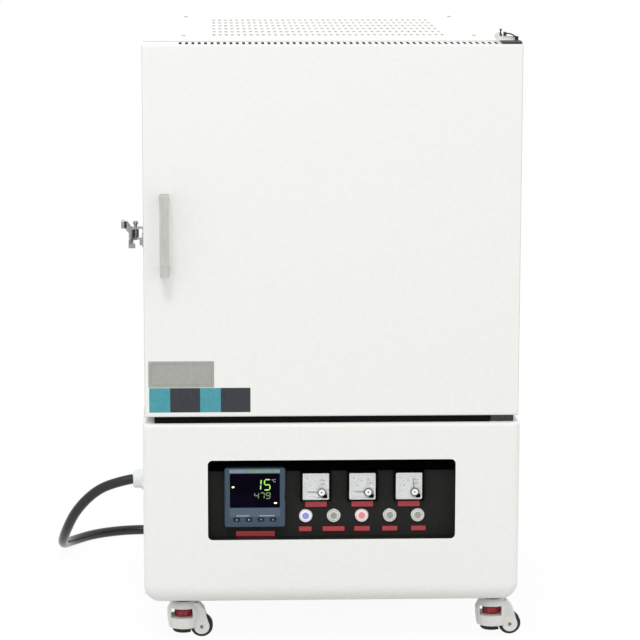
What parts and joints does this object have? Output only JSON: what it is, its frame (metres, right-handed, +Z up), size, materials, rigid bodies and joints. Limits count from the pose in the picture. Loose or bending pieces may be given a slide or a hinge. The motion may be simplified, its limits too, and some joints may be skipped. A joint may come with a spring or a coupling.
{
  "type": "muffle furnace",
  "caption": "Box muffle furnace with a side-hinged insulated door, a recessed control panel below it and levelling casters.",
  "frame": {"origin": "on the floor, under the middle of the outline without the mains cord", "axes": "+Z up, +Y from the door to the back, +X to the right as seen from the front"},
  "size_m": [0.7696, 0.9378, 0.9725],
  "materials": {
    "white_paint": "satin powder coat",
    "black_paint": "matt powder coat",
    "grey_paint": "satin",
    "inner_steel": "satin",
    "stainless": "brushed",
    "chrome": "polished",
    "dark_steel": "blackened",
    "fibre": "soft matt board",
    "ceramic": "matt",
    "element": "grey glassy",
    "gasket": "woven",
    "controller_plastic": "fine texture",
    "key_plastic": "fine texture",
    "window_plastic": "gloss",
    "meter_plastic": "gloss",
    "dial_white": "matt",
    "clear_glass": "clear",
    "needle_black": "matt",
    "blue_lens": "polished with a blue light",
    "red_lens": "polished with a red light",
    "caster_white": "satin powder coat",
    "red_plastic": "gloss",
    "black_rubber": "matt",
    "gland_plastic": "smooth",
    "cord_rubber": "satin",
    "plug_rubber": "satin"
  },
  "bodies": {
    "cabinet": {"front_frame": "inner_steel", "upper_casing": "white_paint", "top_cover": "white_paint", "spacer_frame": "black_paint", "hinge_brackets": "dark_steel", "fibre_lining": "fibre", "heating_elements": "element", "ceramic_fittings": "ceramic", "lower_front": "white_paint", "lower_body": "white_paint", "control_panel": "black_paint", "controller_case": "controller_plastic", "meter_cases": "meter_plastic", "meter_dials": "dial_white", "meter_glasses": "clear_glass", "button_rings": "stainless", "latch_base": "stainless", "switch_body": "stainless", "caster_mounts": "dark_steel", "cable_gland": "gland_plastic", "cord_cable": "cord_rubber", "cord_coil": "cord_rubber", "mains_plug": "plug_rubber"},
    "door": {"door_shell": "white_paint", "door_liner": "inner_steel", "door_fibre": "fibre", "door_gasket": "gasket", "door_handle": "chrome", "latch_keeper": "stainless"},
    "latch_lever": {"latch_lever": "stainless"},
    "latch_hook": {"latch_hook": "stainless"},
    "switch_arm": {"switch_arm": "dark_steel"},
    "push_button_1": {"push_button_1": "blue_lens"},
    "push_button_2": {"push_button_2": "stainless"},
    "push_button_3": {"push_button_3": "red_lens"},
    "push_button_4": {"push_button_4": "stainless"},
    "push_button_5": {"push_button_5": "stainless"},
    "controller_key_1": {"controller_key_1": "key_plastic"},
    "controller_key_2": {"controller_key_2": "key_plastic"},
    "controller_key_3": {"controller_key_3": "key_plastic"},
    "controller_key_4": {"controller_key_4": "key_plastic"},
    "meter_needle_1": {"meter_needle_1": "needle_black"},
    "meter_needle_2": {"meter_needle_2": "needle_black"},
    "meter_needle_3": {"meter_needle_3": "needle_black"},
    "front_left_caster": {"front_left_caster_housing": "caster_white"},
    "front_left_wheel": {"front_left_caster_wheel": "black_rubber"},
    "front_left_thumb_wheel": {"front_left_thumb_wheel": "red_plastic"},
    "front_left_foot": {"front_left_foot_pad": "black_rubber"},
    "front_right_caster": {"front_right_caster_housing": "caster_white"},
    "front_right_wheel": {"front_right_caster_wheel": "black_rubber"},
    "front_right_thumb_wheel": {"front_right_thumb_wheel": "red_plastic"},
    "front_right_foot": {"front_right_foot_pad": "black_rubber"},
    "rear_left_caster": {"rear_left_caster_housing": "caster_white"},
    "rear_left_wheel": {"rear_left_caster_wheel": "black_rubber"},
    "rear_left_thumb_wheel": {"rear_left_thumb_wheel": "red_plastic"},
    "rear_left_foot": {"rear_left_foot_pad": "black_rubber"},
    "rear_right_caster": {"rear_right_caster_housing": "caster_white"},
    "rear_right_wheel": {"rear_right_caster_wheel": "black_rubber"},
    "rear_right_thumb_wheel": {"rear_right_thumb_wheel": "red_plastic"},
    "rear_right_foot": {"rear_right_foot_pad": "black_rubber"}
  },
  "joints": [
    {"name": "door_hinge", "type": "hinge", "parent": "cabinet", "child": "door", "pos_m": [0.28955, -0.276, 0.66], "axis": [0, 0, 1], "range_deg": [0, 115]},
    {"name": "latch_lever_pivot", "type": "hinge", "parent": "cabinet", "child": "latch_lever", "pos_m": [-0.29545, -0.206, 0.648], "axis": [0, 0, 1], "range_deg": [-55, 0]},
    {"name": "latch_hook_pivot", "type": "hinge", "parent": "latch_lever", "child": "latch_hook", "pos_m": [-0.30245, -0.214, 0.636], "axis": [0, 0, 1], "range_deg": [-60, 9]},
    {"name": "switch_arm_pivot", "type": "hinge", "parent": "cabinet", "child": "switch_arm", "pos_m": [0.27995, -0.264, 0.9653], "axis": [0, 1, 0], "range_deg": [-10, 0], "stiffness_Nm_per_rad": 0.02},
    {"name": "push_button_1_press", "type": "slide", "parent": "cabinet", "child": "push_button_1", "axis": [0, 1, 0], "range_m": [0, 0.0025], "stiffness_N_per_m": 600},
    {"name": "push_button_2_press", "type": "slide", "parent": "cabinet", "child": "push_button_2", "axis": [0, 1, 0], "range_m": [0, 0.0025], "stiffness_N_per_m": 600},
    {"name": "push_button_3_press", "type": "slide", "parent": "cabinet", "child": "push_button_3", "axis": [0, 1, 0], "range_m": [0, 0.0025], "stiffness_N_per_m": 600},
    {"name": "push_button_4_press", "type": "slide", "parent": "cabinet", "child": "push_button_4", "axis": [0, 1, 0], "range_m": [0, 0.0025], "stiffness_N_per_m": 600},
    {"name": "push_button_5_press", "type": "slide", "parent": "cabinet", "child": "push_button_5", "axis": [0, 1, 0], "range_m": [0, 0.0025], "stiffness_N_per_m": 600},
    {"name": "controller_key_1_press", "type": "slide", "parent": "cabinet", "child": "controller_key_1", "axis": [0, 1, 0], "range_m": [0, 0.0006], "stiffness_N_per_m": 300},
    {"name": "controller_key_2_press", "type": "slide", "parent": "cabinet", "child": "controller_key_2", "axis": [0, 1, 0], "range_m": [0, 0.0006], "stiffness_N_per_m": 300},
    {"name": "controller_key_3_press", "type": "slide", "parent": "cabinet", "child": "controller_key_3", "axis": [0, 1, 0], "range_m": [0, 0.0006], "stiffness_N_per_m": 300},
    {"name": "controller_key_4_press", "type": "slide", "parent": "cabinet", "child": "controller_key_4", "axis": [0, 1, 0], "range_m": [0, 0.0006], "stiffness_N_per_m": 300},
    {"name": "meter_needle_1_swing", "type": "hinge", "parent": "cabinet", "child": "meter_needle_1", "pos_m": [-0.00385, -0.2855, 0.2449], "axis": [0, 1, 0], "range_deg": [0, 90], "stiffness_Nm_per_rad": 0.002},
    {"name": "meter_needle_2_swing", "type": "hinge", "parent": "cabinet", "child": "meter_needle_2", "pos_m": [0.06975, -0.2855, 0.2449], "axis": [0, 1, 0], "range_deg": [0, 90], "stiffness_Nm_per_rad": 0.002},
    {"name": "meter_needle_3_swing", "type": "hinge", "parent": "cabinet", "child": "meter_needle_3", "pos_m": [0.14335, -0.2855, 0.2449], "axis": [0, 1, 0], "range_deg": [-82, 8], "stiffness_Nm_per_rad": 0.002},
    {"name": "front_left_swivel", "type": "hinge", "parent": "cabinet", "child": "front_left_caster", "pos_m": [-0.22345, -0.242, 0.057], "axis": [0, 0, 1], "continuous": true},
    {"name": "front_left_roll", "type": "hinge", "parent": "front_left_caster", "child": "front_left_wheel", "pos_m": [-0.19445, -0.242, 0.0179], "axis": [0, 1, 0], "continuous": true},
    {"name": "front_left_thumb_turn", "type": "hinge", "parent": "front_left_caster", "child": "front_left_thumb_wheel", "pos_m": [-0.22345, -0.242, 0.04], "axis": [0, 0, 1], "range_deg": [-240, 2400]},
    {"name": "front_left_foot_lower", "type": "slide", "parent": "front_left_caster", "child": "front_left_foot", "axis": [0, 0, -1], "range_m": [-0.001, 0.01]},
    {"name": "front_right_swivel", "type": "hinge", "parent": "cabinet", "child": "front_right_caster", "pos_m": [0.27155, -0.242, 0.057], "axis": [0, 0, 1], "continuous": true},
    {"name": "front_right_roll", "type": "hinge", "parent": "front_right_caster", "child": "front_right_wheel", "pos_m": [0.30055, -0.242, 0.0179], "axis": [0, 1, 0], "continuous": true},
    {"name": "front_right_thumb_turn", "type": "hinge", "parent": "front_right_caster", "child": "front_right_thumb_wheel", "pos_m": [0.27155, -0.242, 0.04], "axis": [0, 0, 1], "range_deg": [-240, 2400]},
    {"name": "front_right_foot_lower", "type": "slide", "parent": "front_right_caster", "child": "front_right_foot", "axis": [0, 0, -1], "range_m": [-0.001, 0.01]},
    {"name": "rear_left_swivel", "type": "hinge", "parent": "cabinet", "child": "rear_left_caster", "pos_m": [-0.22345, 0.28, 0.057], "axis": [0, 0, 1], "continuous": true},
    {"name": "rear_left_roll", "type": "hinge", "parent": "rear_left_caster", "child": "rear_left_wheel", "pos_m": [-0.19445, 0.28, 0.0179], "axis": [0, 1, 0], "continuous": true},
    {"name": "rear_left_thumb_turn", "type": "hinge", "parent": "rear_left_caster", "child": "rear_left_thumb_wheel", "pos_m": [-0.22345, 0.28, 0.04], "axis": [0, 0, 1], "range_deg": [-240, 2400]},
    {"name": "rear_left_foot_lower", "type": "slide", "parent": "rear_left_caster", "child": "rear_left_foot", "axis": [0, 0, -1], "range_m": [-0.001, 0.01]},
    {"name": "rear_right_swivel", "type": "hinge", "parent": "cabinet", "child": "rear_right_caster", "pos_m": [0.27155, 0.28, 0.057], "axis": [0, 0, 1], "continuous": true},
    {"name": "rear_right_roll", "type": "hinge", "parent": "rear_right_caster", "child": "rear_right_wheel", "pos_m": [0.30055, 0.28, 0.0179], "axis": [0, 1, 0], "continuous": true},
    {"name": "rear_right_thumb_turn", "type": "hinge", "parent": "rear_right_caster", "child": "rear_right_thumb_wheel", "pos_m": [0.27155, 0.28, 0.04], "axis": [0, 0, 1], "range_deg": [-240, 2400]},
    {"name": "rear_right_foot_lower", "type": "slide", "parent": "rear_right_caster", "child": "rear_right_foot", "axis": [0, 0, -1], "range_m": [-0.001, 0.01]}
  ],
  "couplings": [
    {"joint": "front_left_thumb_turn", "follows": "front_left_foot_lower", "rad_per_m": 4188.8},
    {"joint": "front_right_thumb_turn", "follows": "front_right_foot_lower", "rad_per_m": 4188.8},
    {"joint": "rear_left_thumb_turn", "follows": "rear_left_foot_lower", "rad_per_m": 4188.8},
    {"joint": "rear_right_thumb_turn", "follows": "rear_right_foot_lower", "rad_per_m": 4188.8}
  ]
}
